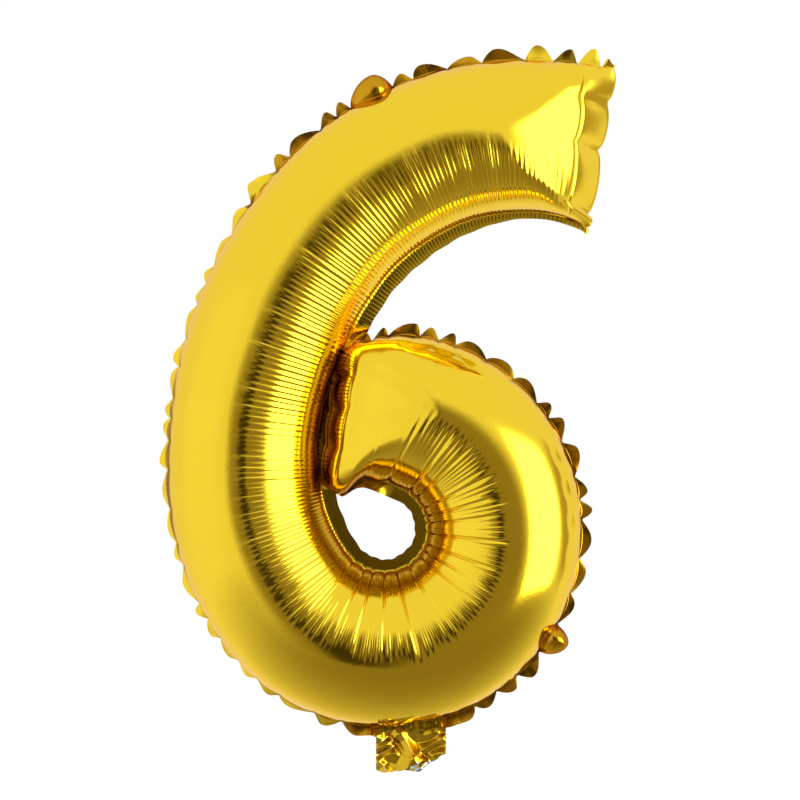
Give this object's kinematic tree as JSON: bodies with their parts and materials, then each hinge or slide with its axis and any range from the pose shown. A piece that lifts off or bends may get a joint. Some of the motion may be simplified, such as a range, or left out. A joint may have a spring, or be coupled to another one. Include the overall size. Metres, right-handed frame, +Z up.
{
  "type": "foil number balloon",
  "caption": "Inflated gold foil balloon shaped as the digit six, with a flat welded seam flange and a folding filling tail under its bowl.",
  "frame": {"origin": "middle of the tail's fold line, just under the neck below the bowl, in the plane of the welded seam", "axes": "+Z up along the upright digit, +X to the digit's right as it is read, +Y to its back; the seam lies in the XZ plane and the front faces -Y"},
  "size_m": [0.2343, 0.072, 0.3629],
  "materials": {
    "gold_foil": "polished",
    "valve_film": "polished"
  },
  "bodies": {
    "balloon": {"front_panel": "gold_foil", "back_panel": "gold_foil", "valve_front_film": "valve_film", "valve_back_film": "valve_film"},
    "tail": {"tail_front_flap": "gold_foil", "tail_back_flap": "gold_foil", "tail_valve_front_film": "valve_film", "tail_valve_back_film": "valve_film"}
  },
  "joints": [
    {"name": "tail_fold", "type": "hinge", "parent": "balloon", "child": "tail", "pos_m": [0, 0, 0], "axis": [1, 0, 0], "range_deg": [-110, 110]}
  ]
}
